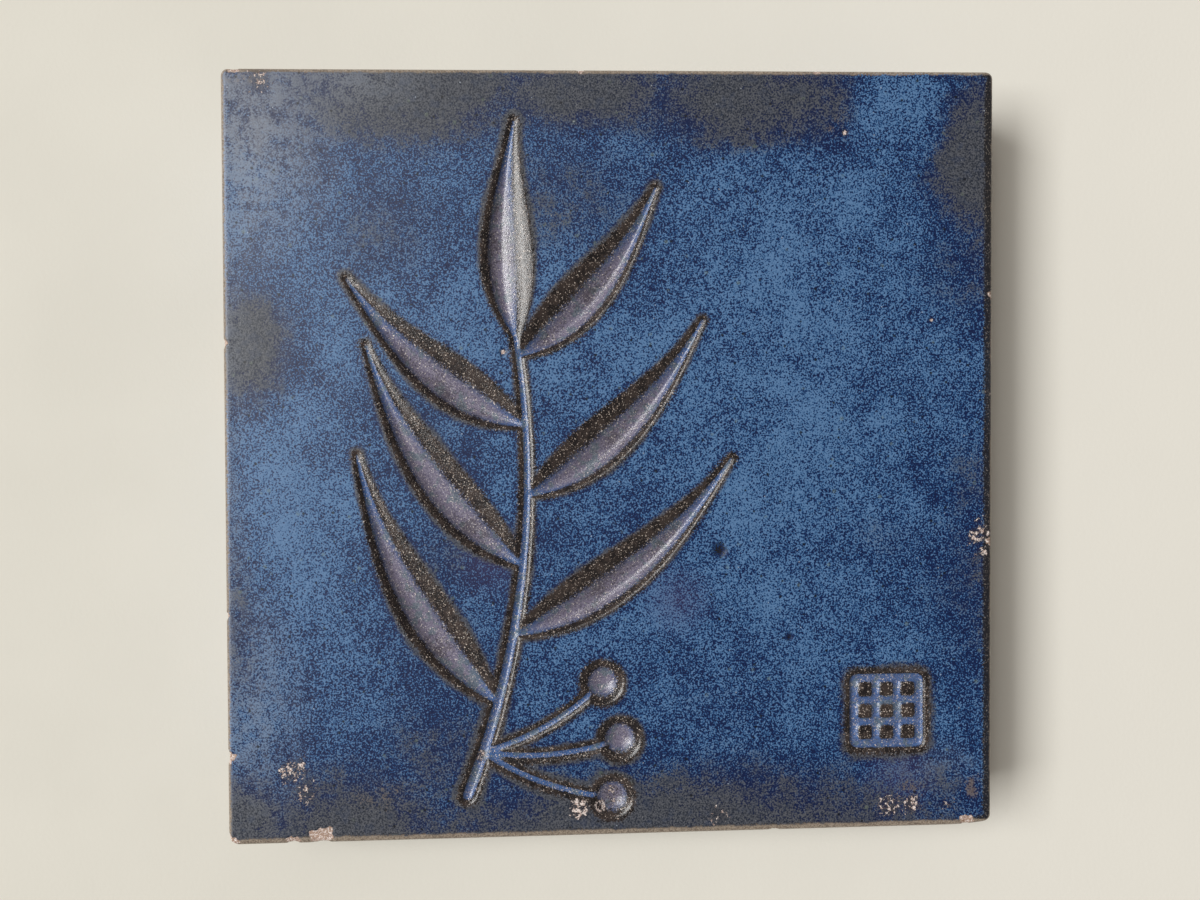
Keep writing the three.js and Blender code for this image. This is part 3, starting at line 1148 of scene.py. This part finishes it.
def blue_field(tree, place, patterns, relief):
    """Blue glaze in fine navy and clear grains, breaking to slate where it is thin; pale in milky
    places that also carry a painted hazy reflection, and strewn with painted glints.
    """
    halo = 1.0 - ramp(relief, 0.5, 2.0)
    thinness = fact(tree, "thin_glaze") * 1.4 + halo * 0.8
    level = fact(tree, "thick_glaze") * 0.25 + 0.71 - root(thinness) * 0.43
    mottled = mottle(patterns, grain=6.0, fine=2.4, cloud=1.7, blotch=1.1, drift=0.8)
    field = colours_along(mottled + level, BLUES)
    field = mix(fact(tree, "violet_glaze") * 0.4, field, VIOLET)
    broken = thinness * thinness * 1.1 + mottle(patterns, grain=4.6, cloud=3.2, blotch=3.0)
    field = mix(ramp(broken, 0.5, 1.7) * ramp(thinness, 0.3, 0.8), field, slate(patterns))
    # Painted reflection in part: the milky places are paled also to stand for the windows' hazy
    # reflection
    clouded = ramp(patterns.blotch + mottle(patterns, grain=0.9), 0.3, 0.62)
    field = mix(fact(tree, "milky_glaze_and_haze") * clouded * 0.82, field, MILKY_AND_HAZE)
    greenish = spots(place, 3.7, 0.5, 40.0) * ramp(patterns.blotch, 0.45, 0.6)
    field = mix(greenish * 0.34, field, GREENISH_SPOT)
    field = mix(spots(place, 3.1, 0.34, 80.0) * 0.85, field, INK_SPOT)
    # Painted glints: tiny pale points over the field
    return mix(spots(place, 3.6, 0.16, 120.0) * 0.6, field, PALE_PAINTED_GLINT)


def burnt_glaze(patterns, painted_glints):
    """Burnt brown glaze with tan and pale painted glints, as on the rims of the carving."""
    burnt = mix(ramp(patterns.blotch, 0.4, 0.6), BURNT, BURNT_BROWN)
    burnt = mix(ramp(patterns.fine, 0.58, 0.7), burnt, TAN_PAINTED_GLINT)
    return mix(painted_glints, burnt, RIM_PAINTED_GLINT)


def pooled_glaze(patterns, painted_glints, relief):
    """Pale glaze as it pools on the floors of the carving, lilac and scorched where deep, with
    painted glints.
    """
    deep = ramp(-relief, 0.6, 1.8)
    pale = mix(deep, POOLED_BLUE, POOLED_LILAC)
    pale = mix(ramp(patterns.blotch, 0.51, 0.6) * 0.7, pale, POOLED_GREEN)
    scorched = ramp(patterns.cloud + mottle(patterns, grain=0.5), 0.5, 0.6) * deep
    pale = mix(scorched * 0.6, pale, SCORCHED)
    pale = mix(ramp(patterns.grain, 0.46, 0.6) * 0.5, pale, POOLED_SHADE)
    pale = mix(ramp(patterns.fine, 0.55, 0.66) * 0.6, pale, POOLED_POINT)
    return mix(painted_glints, pale, FLOOR_PAINTED_GLINT)


def carved_glaze(tree, patterns, field, relief):
    """The field with burnt rims and pooled floors where it is carved, and how far it is each."""
    # Painted glints: pale flecks that stand for the windows' sparkle on the glossy carving
    painted_glints = ramp(patterns.fine + mottle(patterns, grain=0.8), 0.68, 0.74)
    rim = 1.0 - ramp(relief + mottle(patterns, blotch=0.9, grain=2.4), 0.4, 1.0)
    share = fact(tree, "depth_share") + mottle(patterns, blotch=0.4, grain=1.0)
    floor = ramp(share, 0.4, 0.64)
    rimmed = mix(rim, field, burnt_glaze(patterns, painted_glints))
    pooled = pooled_glaze(patterns, painted_glints, relief)
    return mix(floor, rimmed, pooled), rim * (1.0 - floor), floor


def worn_and_shaded_arris(tree, patterns, glazed):
    """A dark line of painted shade along the arrises away from the windows and, outside it, a strip
    worn to the tan clay.
    """
    past_line = fact(tree, "past_dark_line_and_shade")
    past_strip = fact(tree, "past_tan_strip")
    wander = mottle(patterns, blotch=1.0, grain=1.4)
    line = 1.0 - ramp(past_line + wander, -0.25, 0.35)
    has_line = ramp(past_strip - past_line, 0.05, 0.5)
    dark = mix(ramp(patterns.fine, 0.6, 0.68) * 0.7, ARRIS_LINE_AND_SHADE, ARRIS_POINT)
    # Painted shade: the dark line darkens the right and bottom arrises, which face away from the
    # windows
    glazed = mix(line * has_line * 0.92, glazed, dark)
    strip = 1.0 - ramp(past_strip + wander, -0.15, 0.15)
    strip = strip * ramp(fact(tree, "edge") + wander * 2.0, -1.6, -0.5)
    tan = mix(ramp(patterns.grain, 0.35, 0.65), DARK_TAN, LIGHT_TAN)
    return mix(strip * 0.92, glazed, tan)


def bare_clay(patterns):
    clay = mix(ramp(patterns.blotch, 0.3, 0.7), CLAY, DARK_CLAY)
    return mix(ramp(patterns.grain, 0.62, 0.72), clay, CLAY_GRIT)


def flawed_glaze(tree, patterns, glazed, flecks, chipped):
    """The glaze with its stains, crawled flecks, chips and pits."""
    crumbs = mix(ramp(patterns.fine, 0.4, 0.6), CRUMB, DARK_CRUMB)
    fray = mottle(patterns, grain=3.0, blotch=2.5)
    stained = frayed(fact(tree, "stained_glaze"), fray, 0.35, 0.9)
    glazed = mix(stained * 0.75, glazed, STAIN)
    burnt = frayed(fact(tree, "crawled_glaze"), mottle(patterns, grain=1.2), 0.25, 0.75)
    glazed = mix(burnt * 0.6, glazed, CRAWLED_EDGE)
    glazed = mix(flecks, glazed, crumbs)
    broken = mix(ramp(patterns.grain, 0.4, 0.6), crumbs, bare_clay(patterns))
    glazed = mix(chipped, glazed, broken)
    uneven = mottle(patterns, grain=1.8, fine=0.8)
    glazed = mix(frayed(fact(tree, "dark_pit"), uneven * 2.6, 0.5, 0.6), glazed, PIT)
    pale_pit = fact(tree, "pale_pit")
    glazed = mix(frayed(pale_pit, uneven, 0.1, 0.4) * 0.6, glazed, PIT_EDGE)
    return mix(frayed(pale_pit, uneven * 0.6, 0.5, 0.62), glazed, crumbs)


def bumped(height, strength):
    """How a surface faces where bumps lift it by a height in millimetres."""
    inputs = {"Height": height, "Distance": MM, "Strength": strength}
    return output(height.tree, "ShaderNodeBump", inputs)


def blue_glaze():
    material, tree, shader, place = new_material("blue_glaze")
    patterns = glaze_patterns(place)
    relief = fact(tree, "relief")
    crawled = fact(tree, "crawled_glaze")
    flecks = noise(place, 1.5, detail=4.0, roughness=0.7, offset=31.0) + crawled * 0.2
    flecks = ramp(flecks, 0.66, 0.7) * ramp(crawled, 0.02, 0.2)
    chipped = ramp(fact(tree, "bare_clay") + mottle(patterns, grain=0.5), 0.18, 0.3)
    over_line = fact(tree, "over_glaze_line")
    along = mottle(patterns, blotch=1.2)
    toasted = 1.0 - ramp(over_line + along, 0.1, 0.9)
    unglazed = 1.0 - ramp(over_line + along * 0.3, -0.12, 0.05)

    field = blue_field(tree, place, patterns, relief)
    glazed, rim, floor = carved_glaze(tree, patterns, field, relief)
    glazed = worn_and_shaded_arris(tree, patterns, glazed)
    glazed = flawed_glaze(tree, patterns, glazed, flecks, chipped)
    glazed = mix(toasted, glazed, TOASTED_CLAY)
    feed(tree, shader.inputs["Base Color"], mix(unglazed, glazed, bare_clay(patterns)))
    shader.inputs["IOR"].default_value = 1.55

    dull = largest(chipped, largest(unglazed, flecks * 0.7))
    carved = largest(rim, floor)
    smooth = blend(carved, 0.43, 0.22) + mottle(patterns, grain=0.25)
    feed(tree, shader.inputs["Roughness"], blend(dull, smooth, 0.85))

    height = patterns.grain * 0.03 + patterns.blotch * 0.05
    height = height + patterns.fine * (carved * 0.045 + 0.014) - flecks * 0.12
    height = height + unglazed * patterns.fine * 0.05 + chipped * patterns.grain * 0.1
    feed(tree, shader.inputs["Normal"], bumped(height, 1.0))
    return material


def pale_board():
    material, tree, shader, place = new_material("pale_board")
    cloud = noise(place, 0.02, detail=4.0)
    grain = noise(place, 1.2, detail=2.0, offset=5.0)
    shade = mix(ramp(cloud, 0.3, 0.7), BOARD, BOARD_CLOUD)
    along, _, _ = parts_of(place)
    # Painted light: the board is painted lighter towards its right side
    shade = mix(ramp(along, -160.0, 160.0) * 0.7, shade, BOARD_LIT)
    feed(tree, shader.inputs["Base Color"], shade)
    shader.inputs["Roughness"].default_value = 0.75
    shader.inputs["Specular IOR Level"].default_value = 0.15
    feed(tree, shader.inputs["Normal"], bumped(grain * 0.05 + cloud * 0.4, 0.6))
    return material


# Pieces


def finished(name, mesh, material):
    """Brings a mesh to metres and makes it a smooth object with one material."""
    mesh.transform(Matrix.Scale(MM, 4))
    mesh.materials.clear()
    mesh.materials.append(material)
    mesh.polygons.foreach_set("use_smooth", [True] * len(mesh.polygons))
    mesh.name = name
    piece = bpy.data.objects.new(name, mesh)
    bpy.context.scene.collection.objects.link(piece)
    return piece


def glazed_tile():
    glaze = blue_glaze()
    gouges = sprig_gouges(glaze)
    mesh = carve(slab(gouges), gouges, glaze)
    bpy.data.meshes.remove(gouges)
    knock_chips(mesh)
    pit_face(mesh)
    add_glaze_facts(mesh)
    add_arris_facts(mesh)
    piece = finished("glazed_tile", mesh, glaze)
    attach(piece, "root")
    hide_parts("tile")
    return piece


def floor_board():
    mesh = bpy.data.meshes.new("floor")
    half = 1200.0
    corners = [(-half, -half, 0), (half, -half, 0), (half, half, 0), (-half, half, 0)]
    mesh.from_pydata(corners, [], [(0, 1, 2, 3)])
    finished("floor", mesh, pale_board())


def window(name, direction, distance, width, height, power, tint):
    """A soft rectangular light that faces the tile from a direction (azimuth, elevation)."""
    light = bpy.data.lights.new(name, "AREA")
    light.shape = "RECTANGLE"
    light.size = width
    light.size_y = height
    light.energy = power
    light.color = tint
    azimuth, elevation = (math.radians(angle) for angle in direction)
    level = math.cos(elevation)
    towards = Vector(
        (level * math.cos(azimuth), level * math.sin(azimuth), math.sin(elevation))
    )
    lamp = bpy.data.objects.new(name, light)
    lamp.location = towards * distance
    lamp.rotation_euler = towards.to_track_quat("Z", "Y").to_euler()
    bpy.context.scene.collection.objects.link(lamp)


def studio():
    """Two windows on the left, and a pale room whose ceiling is dark straight above."""
    daylight = (1.0, 0.998, 0.985)
    window("window", (172, 46), 6.0, 3.6, 1.8, 284.0, daylight)
    window("far_window", (142, 57), 6.0, 2.2, 1.6, 70.0, daylight)
    world = bpy.data.worlds.new("room")
    world.use_nodes = True
    tree = world.node_tree
    background = tree.nodes["Background"]
    background.inputs["Color"].default_value = (1.0, 0.89, 0.79, 1.0)
    upward = parts_of(output(tree, "ShaderNodeTexCoord", result="Generated"))[2]
    dark_ceiling = ramp(upward, 0.8, 0.97)
    feed(tree, background.inputs["Strength"], 0.205 - dark_ceiling * 0.155)
    bpy.context.scene.world = world
    bpy.context.scene.view_settings.view_transform = "Standard"


def overhead_camera():
    """A camera close above the tile, a little off its middle, as the photograph was taken."""
    lens = bpy.data.cameras.new("camera")
    lens.lens = 27.0
    lens.sensor_width = 36.0
    lens.clip_start = 0.01
    camera = bpy.data.objects.new("camera", lens)
    camera.location = (CAMERA_X * MM, CAMERA_Y * MM, (TILE_THICKNESS + CAMERA_OVER_FACE) * MM)
    camera.rotation_euler = [math.radians(angle) for angle in CAMERA_TURNS]
    bpy.context.scene.collection.objects.link(camera)
    bpy.context.scene.camera = camera


glazed_tile()
floor_board()
studio()
overhead_camera()
